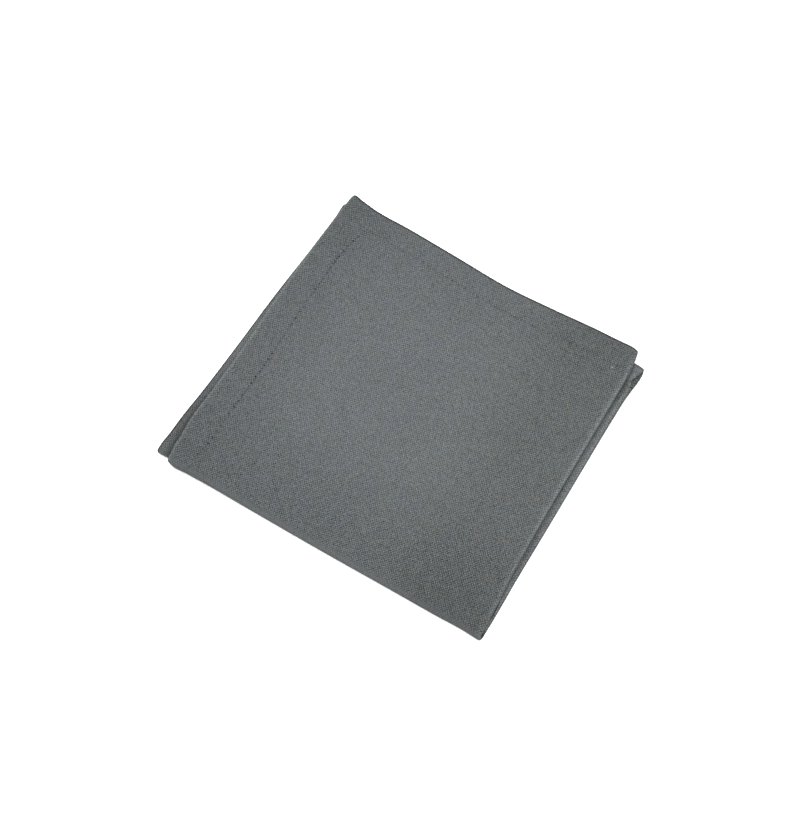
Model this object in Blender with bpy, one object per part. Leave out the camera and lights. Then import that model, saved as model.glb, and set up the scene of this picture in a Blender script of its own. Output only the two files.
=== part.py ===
# Cloth napkin: one square cloth with turned hems, folded in half and then in half again, lying flat.
#
# Lengths are in metres, tables are in millimetres, and +Z is up. The origin is under the middle of the
# bundle, on the surface that it lies on. The side fold is at +X, the front fold at -Y, and the hems meet
# at -X and +Y. From the top down the four leaves are upper outer, upper inner, lower inner, lower outer.

import math

import bpy
import numpy as np

MM = 0.001

# Half the side of the folded square, which the tables of its edges run along.
HALF_SIDE = 100.0 * MM

# Where the middle of the finished bundle is in these tables, whose own middle is that of the square.
BUNDLE_MIDDLE = (-1.457 * MM, 0.898 * MM, 0.0)

# Thickness of the cloth, and of its hem, which is turned under twice and sewn. The cloth's corners are round.
CLOTH_THICKNESS = 1.0 * MM
HEM_THICKNESS = 1.35 * MM
HEM_CORNER_EXTRA = 0.10 * MM
HEM_WIDTH = 16.5 * MM
HEM_EASE = 1.0 * MM
CORNER_ROUNDING = 3.5 * MM
EDGE_ROUNDING = 0.35

# Height from one leaf to the next: in the middle, and what is added at hems, folds and corners.
LEAF_PITCH = 1.38 * MM
HEM_LOFT = 0.42 * MM
SIDE_FOLD_LOFT = 0.36 * MM
FRONT_FOLD_LOFT = 0.40 * MM
HEM_CORNER_LOFT = 0.55 * MM
FOLD_CORNER_LOFT = 0.25 * MM
HEM_CORNER = (-100.0 * MM, 99.0 * MM)
FOLD_CORNER = (100.0 * MM, 93.0 * MM)
HEM_LOFT_FROM = 22.0 * MM
HEM_LOFT_TO = 50.0 * MM
FOLD_LOFT_REACH = 15.0 * MM
CORNER_LOFT_REACH = 34.0 * MM
LEAVES_ABOVE_LOWEST = 3

# The inner leaves droop where they reach out past the top leaf's hem at -X, and that hem curls up a little.
LEFT_DROOP = 1.4 * MM
LEFT_DROOP_REACH = 6.0 * MM
TOP_HEM_CURL = 0.4 * MM
TOP_HEM_CURL_REACH = 9.0 * MM

# Each side fold is a loop a little fuller than its two leaves. The lower one is fullest where it reaches out
# bare past the upper one, and is pinched flat at its far end.
UPPER_LOOP = 0.35 * MM
LOWER_LOOP = 1.2 * MM
LOOP_TOP = 2.0 * MM
LOOP_FOOT = 6.5 * MM
BARE_FOLD_FROM = 1.2 * MM
BARE_FOLD_TO = 5.0 * MM
PINCH_FROM = 4.5 * MM
PINCH_TO = 8.0 * MM

# Low waves over the open cloth.
WAVE_HEIGHT = 0.05 * MM
WAVE_LENGTH_X = 0.118
WAVE_LENGTH_Y = 0.093

# Undersides this close to the surface lie on it.
RESTING_CLEARANCE = 0.03 * MM

# How far the hems at -X stand from the middle, at places along Y.
LEFT_HEMS = {
    "along":       (-100.0, -96.0, -88.0, -76.0, -55.0, -20.0, 20.0, 60.0, 88.0, 96.0, 100.0),
    "upper_outer": (101.6, 102.4, 103.1, 104.1, 103.4, 102.6, 103.3, 102.6, 100.6, 99.9, 99.6),
    "upper_inner": (111.0, 111.2, 110.9, 110.6, 109.2, 107.6, 106.0, 103.7, 102.2, 102.4, 102.5),
    "lower_inner": (109.8, 110.3, 109.9, 109.1, 107.4, 105.2, 103.4, 101.3, 99.8, 99.2, 98.4),
    "lower_outer": (101.8, 102.6, 102.4, 101.9, 100.8, 99.4, 98.4, 97.4, 96.6, 96.2, 95.2),
}

# How far the hems at +Y stand from the middle, at places along X.
FAR_HEMS = {
    "along":       (-100.0, -96.0, -85.0, -60.0, -25.0, 15.0, 45.0, 75.0, 92.0, 97.0, 100.0),
    "upper_outer": (103.2, 102.1, 100.4, 99.7, 97.6, 94.9, 95.7, 97.1, 96.9, 96.7, 96.1),
    "upper_inner": (96.0, 96.0, 95.7, 95.4, 94.4, 92.4, 93.0, 94.4, 95.0, 94.8, 94.0),
    "lower_inner": (92.0, 93.2, 94.2, 94.4, 93.6, 92.2, 91.8, 91.0, 90.3, 90.1, 89.7),
    "lower_outer": (93.0, 94.4, 95.4, 95.4, 94.2, 92.8, 92.2, 91.4, 90.6, 90.3, 89.7),
}

# How far the side fold stands from the middle, at places along Y, for the upper and the lower pair of leaves.
SIDE_FOLDS = {
    "along": (-100.0, -92.0, -60.0, -20.0, 20.0, 60.0, 76.0, 82.0, 90.0, 97.0, 100.0),
    "upper": (101.1, 101.1, 99.9, 99.9, 100.6, 101.4, 101.8, 101.8, 101.4, 100.9, 100.4),
    "lower": (102.4, 102.7, 103.2, 104.3, 105.2, 106.3, 107.0, 107.6, 108.6, 108.7, 108.2),
}

# How far the front fold stands from the middle, and how far the inner leaves are set back in it, along X.
FRONT_FOLD = {
    "along":    (-100.0, -96.0, -88.0, -72.0, -45.0, 0.0, 50.0, 75.0, 90.0, 100.0),
    "outer":    (100.1, 101.1, 100.8, 100.4, 100.4, 100.4, 99.9, 99.7, 99.3, 99.7),
    "set_back": (-0.4, 0.6, 0.5, 0.3, 0.3, 0.2, 0.1, 0.1, 0.0, 0.0),
}

# Where the mesh has its rows: across a hem, then over the open cloth to the fold, as shares of the side.
HEM_ROWS = (0.0, 0.0075, 0.0175, 0.04, 0.0775, 0.0875, 0.115)
OPEN_ROWS = (0.16, 0.22, 0.30, 0.38, 0.46, 0.54, 0.62, 0.70, 0.78, 0.85, 0.91, 0.95, 0.97, 0.985, 1.0)
SIDE_FOLD_ROWS = 8
FRONT_FOLD_ROWS = 10
TANGENT_STEP = 1.0e-5

CLOTH_COLOUR = (0.120, 0.130, 0.134, 1.0)
CLOTH_ROUGHNESS = 0.92


def ease(value):
    """Rise softly from 0 to 1 while the value goes from 0 to 1."""
    limited = np.clip(value, 0.0, 1.0)
    return limited * limited * (3.0 - 2.0 * limited)


def smooth_line(table, column, where):
    """Read one column of a table at places between its rows, as a smooth line, in metres."""
    places = np.array(table["along"]) * MM
    values = np.array(table[column]) * MM
    slopes = np.gradient(values, places)
    row = np.clip(np.searchsorted(places, where) - 1, 0, len(places) - 2)
    width = places[row + 1] - places[row]
    share = np.clip((where - places[row]) / width, 0.0, 1.0)
    square = share * share
    cube = square * share
    start = (2.0 * cube - 3.0 * square + 1.0) * values[row]
    end = (3.0 * square - 2.0 * cube) * values[row + 1]
    leaving = (cube - 2.0 * square + share) * width * slopes[row]
    arriving = (cube - square) * width * slopes[row + 1]
    return start + end + leaving + arriving


def four_leaves(table, where, inner, lower):
    """Read a table of hems for points whose shares of the inner leaf and of the lower pair are given."""
    upper_hem = (1.0 - inner) * smooth_line(table, "upper_outer", where)
    upper_hem = upper_hem + inner * smooth_line(table, "upper_inner", where)
    lower_hem = (1.0 - inner) * smooth_line(table, "lower_outer", where)
    lower_hem = lower_hem + inner * smooth_line(table, "lower_inner", where)
    return (1.0 - lower) * upper_hem + lower * lower_hem


def leaf_pitch(x, y):
    """Height from one leaf to the next at a place in the bundle."""
    from_left_hems = (x + HALF_SIDE - HEM_LOFT_FROM) / (HEM_LOFT_TO - HEM_LOFT_FROM)
    from_far_hems = (HALF_SIDE - HEM_LOFT_FROM - y) / (HEM_LOFT_TO - HEM_LOFT_FROM)
    open_cloth = ease(from_left_hems) * ease(from_far_hems)
    side = 1.0 - ease((HALF_SIDE - x) / FOLD_LOFT_REACH)
    front = 1.0 - ease((HALF_SIDE + y) / FOLD_LOFT_REACH)
    from_hem_corner = np.hypot(x - HEM_CORNER[0], y - HEM_CORNER[1])
    from_fold_corner = np.hypot(x - FOLD_CORNER[0], y - FOLD_CORNER[1])
    pitch = LEAF_PITCH + HEM_LOFT * (1.0 - open_cloth)
    pitch = pitch + SIDE_FOLD_LOFT * side + FRONT_FOLD_LOFT * front * (1.0 - side)
    pitch = pitch + HEM_CORNER_LOFT * (1.0 - ease(from_hem_corner / CORNER_LOFT_REACH))
    pitch = pitch + FOLD_CORNER_LOFT * (1.0 - ease(from_fold_corner / CORNER_LOFT_REACH))
    waves = np.sin(2.0 * math.pi * x / WAVE_LENGTH_X) * np.cos(2.0 * math.pi * y / WAVE_LENGTH_Y)
    return pitch + WAVE_HEIGHT * (1.0 + waves)


def hem_share(distance):
    """1 on a hem, 0 on open cloth, for a distance from the cloth's edge."""
    return 1.0 - ease((distance - HEM_WIDTH + HEM_EASE) / (2.0 * HEM_EASE))


def run_over_fold(travel):
    """Split travel over a fold into the share of the leaf still to go and the angle turned in the fold.

    Travel is 0 to 1 on the first leaf, towards the fold, 1 to 2 in the fold, and 2 to 3 on the second.
    """
    reach = np.clip(travel, 0.0, 1.0) - np.clip(travel - 2.0, 0.0, 1.0)
    turn = math.pi * np.clip(travel - 1.0, 0.0, 1.0)
    return reach, turn


def middle_of_cloth(across, down):
    """Place and thickness of the middle of the cloth.

    Across runs from the outer leaves' hem over the side fold to the inner leaves' hem, and down runs from
    the upper leaves' hem over the front fold to the lower leaves' hem.
    """
    reach_side, side_turn = run_over_fold(across)
    reach_front, front_turn = run_over_fold(down)
    inner = 0.5 - 0.5 * np.cos(side_turn)
    lower = 0.5 - 0.5 * np.cos(front_turn)
    place_x = (2.0 * reach_side - 1.0) * HALF_SIDE
    place_y = (1.0 - 2.0 * reach_front) * HALF_SIDE

    left = -four_leaves(LEFT_HEMS, place_y, inner, lower)
    far = four_leaves(FAR_HEMS, place_x, inner, lower)
    right = (1.0 - lower) * smooth_line(SIDE_FOLDS, "upper", place_y)
    right = right + lower * smooth_line(SIDE_FOLDS, "lower", place_y)
    front = -smooth_line(FRONT_FOLD, "outer", place_x)
    set_back = inner * smooth_line(FRONT_FOLD, "set_back", place_x)

    from_left = reach_side * 2.0 * HALF_SIDE
    from_far = reach_front * 2.0 * HALF_SIDE
    on_left_hem = hem_share(from_left)
    on_far_hem = hem_share(from_far)
    on_hem = np.maximum(on_left_hem, on_far_hem)
    thickness = CLOTH_THICKNESS + (HEM_THICKNESS - CLOTH_THICKNESS) * on_hem
    thickness = thickness + HEM_CORNER_EXTRA * on_left_hem * on_far_hem

    flat_x = left + (right - left) * reach_side
    flat_y = far + (front - far) * reach_front
    pitch = leaf_pitch(flat_x, flat_y)

    bare_fold = smooth_line(SIDE_FOLDS, "lower", place_y) - smooth_line(SIDE_FOLDS, "upper", place_y)
    bareness = ease((bare_fold - BARE_FOLD_FROM) / (BARE_FOLD_TO - BARE_FOLD_FROM))
    pinch = ease((from_far - PINCH_FROM) / (PINCH_TO - PINCH_FROM))
    lower_loop = LOWER_LOOP * bareness * pinch * lower
    upper_loop = UPPER_LOOP * (1.0 - lower)
    side_radius = 0.5 * (pitch + lower_loop + upper_loop)
    side_centre = right - side_radius - 0.5 * thickness
    from_bundle_middle = pitch + 0.5 * pitch * np.cos(side_turn)
    front_radius = 0.5 * LEAVES_ABOVE_LOWEST * pitch
    front_centre = front + front_radius + 0.5 * thickness + set_back

    x = left + (side_centre - left) * reach_side + side_radius * np.sin(side_turn)
    y = far + (front_centre - far) * reach_front - from_bundle_middle * np.sin(front_turn)
    z = 0.5 * thickness + front_radius + from_bundle_middle * np.cos(front_turn)

    in_loop = 1.0 - ease((right - x - LOOP_TOP) / (LOOP_FOOT - LOOP_TOP))
    z = z + in_loop * (lower_loop * inner + upper_loop * (1.0 - inner))
    near_left = np.clip(1.0 - from_left / CORNER_ROUNDING, 0.0, 1.0)
    near_far = np.clip(1.0 - from_far / CORNER_ROUNDING, 0.0, 1.0)
    cut = (1.0 - math.sqrt(0.5)) * CORNER_ROUNDING * (near_left * near_far) ** 2
    x = x + cut
    y = y - cut
    past_top_hem = -x - smooth_line(LEFT_HEMS, "upper_outer", place_y)
    z = z - LEFT_DROOP * inner * ease(past_top_hem / LEFT_DROOP_REACH)
    curl = 1.0 - ease(from_left / TOP_HEM_CURL_REACH)
    z = z + TOP_HEM_CURL * (1.0 - inner) * (1.0 - lower) * curl
    return np.stack([x, y, z], axis=-1) - BUNDLE_MIDDLE, thickness


def facing(across, down):
    """Direction square to the cloth, away from the middle of the bundle on the outer leaves."""
    ahead = middle_of_cloth(across + TANGENT_STEP, down)[0]
    behind = middle_of_cloth(across - TANGENT_STEP, down)[0]
    below = middle_of_cloth(across, down + TANGENT_STEP)[0]
    above = middle_of_cloth(across, down - TANGENT_STEP)[0]
    normal = np.cross(ahead - behind, above - below)
    return normal / np.linalg.norm(normal, axis=-1, keepdims=True)


def travel_rows(fold_rows):
    """Rows of the mesh over one fold, from hem to hem."""
    leaf = np.array(HEM_ROWS + OPEN_ROWS)
    fold = 1.0 + np.arange(1, fold_rows) / fold_rows
    return np.concatenate([leaf, fold, 3.0 - leaf[::-1]])


def inside_cloth(travel):
    """Move rows at the very edge of the cloth in a little, so that both sides of them lie on the cloth."""
    return np.clip(travel, 2.0 * TANGENT_STEP, 3.0 - 2.0 * TANGENT_STEP)


def cloth_faces():
    """Points of the cloth's two faces, on a grid of rows across and rows down."""
    across, down = np.meshgrid(travel_rows(SIDE_FOLD_ROWS), travel_rows(FRONT_FOLD_ROWS), indexing="ij")
    middle, thickness = middle_of_cloth(across, down)
    normal = facing(inside_cloth(across), inside_cloth(down))
    half = 0.5 * thickness[..., None] * normal
    outside = middle + half
    inside = middle - half
    for face in (outside, inside):
        heights = face[..., 2]
        heights[np.abs(heights) < RESTING_CLEARANCE] = 0.0
    return outside, inside


def rim_places(rows, columns):
    """Grid places around the edge of the cloth, in order."""
    first = [(row, 0) for row in range(rows)]
    second = [(rows - 1, column) for column in range(1, columns)]
    third = [(row, columns - 1) for row in range(rows - 2, -1, -1)]
    fourth = [(0, column) for column in range(columns - 2, 0, -1)]
    return first + second + third + fourth


def rounded_edge(outside, inside, places):
    """Points along the middle of the hems' edge, a little outside it."""
    points = []
    rows, columns = outside.shape[:2]
    for row, column in places:
        middle = 0.5 * (outside[row, column] + inside[row, column])
        row_within = min(max(row, 1), rows - 2)
        column_within = min(max(column, 1), columns - 2)
        within = 0.5 * (outside[row_within, column_within] + inside[row_within, column_within])
        outward = middle - within
        outward = outward / np.linalg.norm(outward)
        thickness = np.linalg.norm(outside[row, column] - inside[row, column])
        points.append(middle + outward * thickness * EDGE_ROUNDING)
    return np.array(points)


def build_napkin():
    """The whole cloth as one closed solid."""
    outside, inside = cloth_faces()
    rows, columns = outside.shape[:2]
    places = rim_places(rows, columns)
    edge = rounded_edge(outside, inside, places)
    points = np.concatenate([outside.reshape(-1, 3), inside.reshape(-1, 3), edge])
    inside_start = rows * columns
    edge_start = 2 * rows * columns

    faces = []
    for row in range(rows - 1):
        for column in range(columns - 1):
            corner = row * columns + column
            loop = (corner, corner + 1, corner + columns + 1, corner + columns)
            faces.append(loop)
            faces.append(tuple(inside_start + index for index in reversed(loop)))
    for index, place in enumerate(places):
        following = (index + 1) % len(places)
        here = place[0] * columns + place[1]
        there = places[following][0] * columns + places[following][1]
        faces.append((here, there, edge_start + following, edge_start + index))
        faces.append((edge_start + index, edge_start + following, inside_start + there, inside_start + here))

    mesh = bpy.data.meshes.new("napkin")
    mesh.from_pydata(points.tolist(), [], faces)
    mesh.validate()
    mesh.shade_smooth()
    napkin = bpy.data.objects.new("napkin", mesh)
    bpy.context.scene.collection.objects.link(napkin)
    return napkin


def cloth_material():
    """Plain grey woven cotton."""
    material = bpy.data.materials.new("cloth")
    material.use_nodes = True
    shader = material.node_tree.nodes["Principled BSDF"]
    shader.inputs["Base Color"].default_value = CLOTH_COLOUR
    shader.inputs["Roughness"].default_value = CLOTH_ROUGHNESS
    shader.inputs["Metallic"].default_value = 0.0
    return material


for old_object in list(bpy.data.objects):
    bpy.data.objects.remove(old_object, do_unlink=True)
napkin_object = build_napkin()
napkin_object.data.materials.append(cloth_material())
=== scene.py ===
import math

import bpy
import numpy as np
from mathutils import Matrix, Vector


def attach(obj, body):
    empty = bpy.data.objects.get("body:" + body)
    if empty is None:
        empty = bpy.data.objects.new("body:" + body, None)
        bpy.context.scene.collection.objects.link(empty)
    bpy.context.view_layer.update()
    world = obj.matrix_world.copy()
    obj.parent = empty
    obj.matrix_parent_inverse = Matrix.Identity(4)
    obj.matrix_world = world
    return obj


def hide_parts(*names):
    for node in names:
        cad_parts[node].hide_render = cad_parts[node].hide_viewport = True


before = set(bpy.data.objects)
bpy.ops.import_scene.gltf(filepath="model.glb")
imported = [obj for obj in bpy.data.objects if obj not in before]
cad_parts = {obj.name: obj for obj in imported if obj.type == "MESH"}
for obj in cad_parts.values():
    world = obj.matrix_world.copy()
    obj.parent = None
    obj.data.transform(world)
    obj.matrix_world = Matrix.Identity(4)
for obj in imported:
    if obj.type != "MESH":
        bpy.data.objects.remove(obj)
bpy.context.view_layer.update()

MM = 0.001

# The folded cloth, in the solid's own sizes.

HALF_SIDE = 100.0 * MM
BUNDLE_MIDDLE = (-1.457 * MM, 0.898 * MM, 0.0)
CLOTH_THICKNESS = 0.85 * MM
HEM_THICKNESS = 1.30 * MM
HEM_CORNER_EXTRA = 0.15 * MM
HEM_WIDTH = 16.5 * MM
HEM_EASE = 1.1 * MM
CORNER_ROUNDING = 3.5 * MM
EDGE_ROUNDING = 0.30
EDGE_TAPER = 0.6 * MM
EDGE_TAPER_LEAST = 0.45

LEAF_PITCH = 1.38 * MM
HEM_LOFT = 0.42 * MM
SIDE_FOLD_LOFT = 0.36 * MM
FRONT_FOLD_LOFT = 0.40 * MM
HEM_CORNER_LOFT = 0.55 * MM
FOLD_CORNER_LOFT = 0.25 * MM
HEM_CORNER = (-100.0 * MM, 99.0 * MM)
FOLD_CORNER = (100.0 * MM, 93.0 * MM)
HEM_LOFT_FROM = 22.0 * MM
HEM_LOFT_TO = 50.0 * MM
FOLD_LOFT_REACH = 15.0 * MM
CORNER_LOFT_REACH = 34.0 * MM
LEAVES_ABOVE_LOWEST = 3

# The inner leaves droop where they reach out past the top leaf's hem, and the top leaf's hem curls up a
# little. Each side fold is a loop a little fuller than the leaves behind it, the lower one more so where
# the upper pair doesn't lie on it, but it is pinched flat at its far end.
LEFT_DROOP = 1.4 * MM
LEFT_DROOP_REACH = 6.0 * MM
TOP_HEM_CURL = 0.4 * MM
TOP_HEM_CURL_REACH = 9.0 * MM
UPPER_LOOP = 0.35 * MM
LOWER_LOOP = 1.2 * MM
LOOP_TOP = 2.0 * MM
LOOP_FOOT = 6.5 * MM
BARE_FOLD_FROM = 1.2 * MM
BARE_FOLD_TO = 5.0 * MM
PINCH_FROM = 4.5 * MM
PINCH_TO = 8.0 * MM
WAVE_HEIGHT = 0.05 * MM
WAVE_LENGTH_X = 0.118
WAVE_LENGTH_Y = 0.093

# Hems of the four leaves and folds of the bundle, in millimetres at places along it.
LEFT_HEMS = {
    "along":       (-100.0, -96.0, -88.0, -76.0, -55.0, -20.0, 20.0, 60.0, 88.0, 96.0, 100.0),
    "upper_outer": (101.6, 102.4, 103.1, 104.1, 103.4, 102.6, 103.3, 102.6, 100.6, 99.9, 99.6),
    "upper_inner": (111.0, 111.2, 110.9, 110.6, 109.2, 107.6, 106.0, 103.7, 102.2, 102.4, 102.5),
    "lower_inner": (109.8, 110.3, 109.9, 109.1, 107.4, 105.2, 103.4, 101.3, 99.8, 99.2, 98.4),
    "lower_outer": (101.8, 102.6, 102.4, 101.9, 100.8, 99.4, 98.4, 97.4, 96.6, 96.2, 95.2),
}
FAR_HEMS = {
    "along":       (-100.0, -96.0, -85.0, -60.0, -25.0, 15.0, 45.0, 75.0, 92.0, 97.0, 100.0),
    "upper_outer": (103.2, 102.1, 100.4, 99.7, 97.6, 94.9, 95.7, 97.1, 96.9, 96.7, 96.1),
    "upper_inner": (96.0, 96.0, 95.7, 95.4, 94.4, 92.4, 93.0, 94.4, 95.0, 94.8, 94.0),
    "lower_inner": (92.0, 93.2, 94.2, 94.4, 93.6, 92.2, 91.8, 91.0, 90.3, 90.1, 89.7),
    "lower_outer": (93.0, 94.4, 95.4, 95.4, 94.2, 92.8, 92.2, 91.4, 90.6, 90.3, 89.7),
}
SIDE_FOLDS = {
    "along": (-100.0, -92.0, -60.0, -20.0, 20.0, 60.0, 76.0, 82.0, 90.0, 97.0, 100.0),
    "upper": (101.1, 101.1, 99.9, 99.9, 100.6, 101.4, 101.8, 101.8, 101.4, 100.9, 100.4),
    "lower": (102.4, 102.7, 103.2, 104.3, 105.2, 106.3, 107.0, 107.6, 108.6, 108.7, 108.2),
}
FRONT_FOLD = {
    "along":    (-100.0, -96.0, -88.0, -72.0, -45.0, 0.0, 50.0, 75.0, 90.0, 100.0),
    "outer":    (100.1, 101.1, 100.8, 100.4, 100.4, 100.4, 99.9, 99.7, 99.3, 99.7),
    "set_back": (-0.4, 0.6, 0.5, 0.3, 0.3, 0.2, 0.1, 0.1, 0.0, 0.0),
}

# Rows of the mesh, in millimetres from the hem's edge: close together at the edge, over the seam and at the
# fold. The leaves that show have more rows than the others, which have close ones only where they reach out.
EDGE_ROWS = (0.0, 0.15, 0.35, 0.6, 1.0, 1.6, 2.6)
ACROSS_SHOWN = {"hem": 1.9, "seam": (13.0, 20.5, 9), "open": 2.3, "at_fold": 0.4}
ACROSS_HIDDEN = {"hem": 0.9, "seam": (13.0, 20.0, 4), "open": 7.0, "at_fold": 0.34}
DOWN_SHOWN = {"hem": 1.9, "seam": (13.0, 20.5, 9), "open": 2.3, "at_fold": 0.7}
DOWN_HIDDEN = {"hem": 0.45, "seam": (13.0, 22.0, 8), "open": 2.9, "at_fold": 0.8}
AT_FOLD = 8.0
SIDE_FOLD_ROWS = 12
FRONT_FOLD_ROWS = 16
TANGENT_STEP = 1.0e-5

# Flat length of the cloth over each leaf and round each fold, for laying the weave on it.
LEAF_ACROSS = 0.1985
FOLD_ACROSS = 0.0030
LEAF_DOWN = 0.1960
FOLD_DOWN = 0.0080
WHOLE = 0.4000

# The seams, each sewn by eye at its own distance from the edge, from one end of the cloth to its middle, in
# millimetres. The stitches pull a soft trough into the hem.
SEAMS = {
    "along":    (0.0, 14.7, 24.8, 60.0, 106.0, 156.0, 174.0, 194.7, 210.0),
    "side_hem": (20.6, 19.7, 17.7, 16.8, 16.6, 16.5, 16.6, 13.2, 13.0),
    "end_hem":  (13.8, 13.9, 14.2, 14.9, 15.5, 15.5, 15.3, 15.8, 16.0),
}
SEAM_CORNER = 15.0 * MM
SEAM_TROUGH = 0.05 * MM
SEAM_WANDER = 0.25 * MM
SEAM_TROUGH_WIDTH = 1.3 * MM
STITCH_PITCH = 4.4 * MM
STITCH_LENGTH = 2.1 * MM
STITCH_LENGTHS = (0.85, 1.15)
STITCH_RADIUS = 0.20 * MM
STITCH_END_THICKNESS = 0.55
STITCH_ARCH = 1.1
STITCH_END_DEPTH = 0.7
STITCH_SINK = 0.02 * MM
STITCH_LEAST_HEIGHT = 0.01 * MM
STITCH_SIDES = 6
STITCH_RINGS = (0.0, 0.18, 0.5, 0.82, 1.0)
SEAM_SEED = 7
STITCH_SEED = 11

# Painted shade and painted light on the cloth, as shares of its colour that are added or taken away.
# First the broad painted shade of the top leaf towards its sides, from and over shares of the leaf.
DARK_LEFT = 0.15
DARK_LEFT_AT_FRONT = 0.07
DARK_RIGHT = 0.15
DARK_FRONT = 0.20
DARK_FAR = 0.09
LEFT_SHADE_EASE = 0.28
RIGHT_SHADE_FROM = 0.62
RIGHT_SHADE_EASE = 0.25
FRONT_SHADE_FROM = 0.62
FRONT_SHADE_EASE = 0.38
FAR_SHADE_EASE = 0.30

# The front roll is painted paler, with a painted highlight on its shoulder and painted shade below it.
PALE_ROLL = 0.15
ROLL_TURN = math.radians(60.0)
ROLL_HIGHLIGHT = 1.1
ROLL_HIGHLIGHT_AT = math.radians(38.0)
ROLL_HIGHLIGHT_WIDE = math.radians(20.0)
DARK_UNDER_ROLL = 0.35
ROLL_UNDER_FROM = math.radians(62.0)
ROLL_UNDER_EASE = math.radians(25.0)

# Painted highlights on the rims of the top leaf, dark lines of painted shade along the hems' edges and on
# the edge's rounded nose, and painted shade on the side fold where it turns in under its rim.
PALE_RIM = 0.45
PALE_RIM_FAR = 0.32
RIM_NOSE_SHADE = 0.70
LEFT_RIM_FROM = 0.5 * MM
LEFT_RIM_EASE = 1.6 * MM
RIM_WIDTH = 0.6 * MM
RIM_PAST_FOLD = 0.35 * MM
RIM_SOFT_SHARE = 0.35
RIM_SOFT_WIDTH = 2.6 * MM
RIM_END = 50.0 * MM
RIM_END_EASE = 20.0 * MM
DARK_LINE = 0.60
DARK_FAR_LINE = 0.45
UPPER_LINE_FROM = 0.9 * MM
LOWER_LINE_FROM = 0.6 * MM
LINE_EASE = 0.7 * MM
DARK_TUCK = 0.55
TUCK_FROM = math.radians(50.0)
TUCK_EASE = math.radians(40.0)

# The lower side fold where it reaches out: painted shade in a dark line at its foot and in a valley beside
# the upper fold, and a raised ridge with a painted highlight; at its far end a band of painted shade,
# a small tucked crease, sunk in with painted shade, and a raised patch past the crease with painted light.
FOLD_LINE_FROM = 0.2 * MM
FOLD_LINE_EASE = 1.1 * MM
VALLEY_FLOOR_SHARE = 0.60
VALLEY_EASE_SHARE = 0.45
RIDGE_WIDTH = 0.45 * MM
RIDGE_HEIGHT = 0.14 * MM
RIDGE_LEAST_SHARE = 0.30
RIDGE_FROM = 45.0 * MM
RIDGE_EASE = 20.0 * MM
DARK_BAND = 0.42
BAND_FROM = 66.0 * MM
BAND_EASE = 12.0 * MM
BAND_OUTSIDE_RIDGE = 0.7 * MM
BAND_EDGE_EASE = 0.6 * MM
DARK_CREASE = 0.66
CREASE_DEPTH = 0.22 * MM
CREASE_TIP = 90.2 * MM
CREASE_SLOPE = 3.75
CREASE_REACH = 3.2 * MM
CREASE_END_EASE = 0.5 * MM
CREASE_WIDTH = 1.4 * MM
CREASE_SHOULDER = 0.6
PATCH_PALE = 0.22
PATCH_HEIGHT = 0.10 * MM
PATCH_FROM = 78.5 * MM
PATCH_TO = 83.5 * MM
PATCH_EASE = 2.5 * MM
PATCH_FADES_BY = 0.7
UPPER_HALF_FROM = 1.45
UPPER_HALF_EASE = 0.25

# The strip of the inner leaves past the top leaf's side hem has painted shade where the top leaf shades it,
# more so towards the front.
STRIP_FROM = -16.0 * MM
STRIP_EASE = 58.0 * MM
STRIP_REACH = 2.4 * MM
STRIP_DARKEST = 0.52
STRIP_DARK = 0.11
STRIP_DARK_FROM = -35.0 * MM
STRIP_DARK_EASE = 35.0 * MM

# Painted shade and light on the side folds along Y: where the lower one has its ridge, inside its outline,
# how much painted highlight the ridge has, how dark and wide the painted shade in the valley past the upper
# fold is, and how much painted highlight the upper fold's rim has.
SIDE_SHADES = {
    "along":        (-100.0, -96.5, -93.0, -90.0, -86.0, -83.0, -79.0, -76.0, -60.0, -40.0, 10.0, 50.0, 63.0,
                     67.0, 72.0, 75.0, 77.5, 80.0, 84.0, 88.0, 92.0),
    "ridge_inside": (1.1, 1.1, 1.1, 1.1, 1.1, 1.2, 1.2, 1.2, 1.0, 0.9, 1.1, 2.0, 2.0,
                     2.2, 2.1, 2.5, 3.5, 4.0, 4.0, 4.0, 4.0),
    "ridge_pale":   (0.40, 0.45, 0.50, 0.50, 0.50, 0.50, 0.50, 0.45, 0.20, 0.15, 0.22, 0.28, 0.26,
                     0.24, 0.24, 0.24, 0.24, 0.10, 0.0, 0.0, 0.0),
    "valley_dark":  (0.80, 0.80, 0.20, 0.0, 0.20, 0.82, 0.80, 0.05, 0.15, 0.30, 0.16, 0.10, 0.22,
                     0.30, 0.34, 0.36, 0.36, 0.34, 0.32, 0.25, 0.20),
    "valley_wide":  (0.9, 0.9, 0.8, 0.8, 0.8, 0.9, 0.9, 0.9, 1.4, 2.7, 2.2, 2.4, 2.7,
                     2.8, 2.7, 2.6, 2.4, 2.1, 1.6, 0.9, 0.6),
    "rim_pale":     (0.30, 0.36, 0.42, 0.44, 0.44, 0.44, 0.44, 0.42, 0.36, 0.36, 0.54, 0.52, 0.50,
                     0.50, 0.50, 0.50, 0.48, 0.44, 0.36, 0.18, 0.06),
}


def ease(value):
    """A smooth rise from 0 to 1, for a value that runs from 0 to 1 and stays level outside."""
    limited = np.clip(value, 0.0, 1.0)
    return limited * limited * (3.0 - 2.0 * limited)


def smooth_line(table, column, where):
    """Read one column of a table at places between its rows, as a smooth line, in metres."""
    places = np.array(table["along"]) * MM
    values = np.array(table[column]) * MM
    slopes = np.gradient(values, places)
    row = np.clip(np.searchsorted(places, where) - 1, 0, len(places) - 2)
    width = places[row + 1] - places[row]
    share = np.clip((where - places[row]) / width, 0.0, 1.0)
    square = share * share
    cube = square * share
    start = (2.0 * cube - 3.0 * square + 1.0) * values[row]
    end = (3.0 * square - 2.0 * cube) * values[row + 1]
    leaving = (cube - 2.0 * square + share) * width * slopes[row]
    arriving = (cube - square) * width * slopes[row + 1]
    return start + end + leaving + arriving


def straight_line(table, column, where):
    """Read one column of a table at places between its rows, straight from row to row, in its own units."""
    return np.interp(where, np.array(table["along"]) * MM, table[column])


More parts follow.
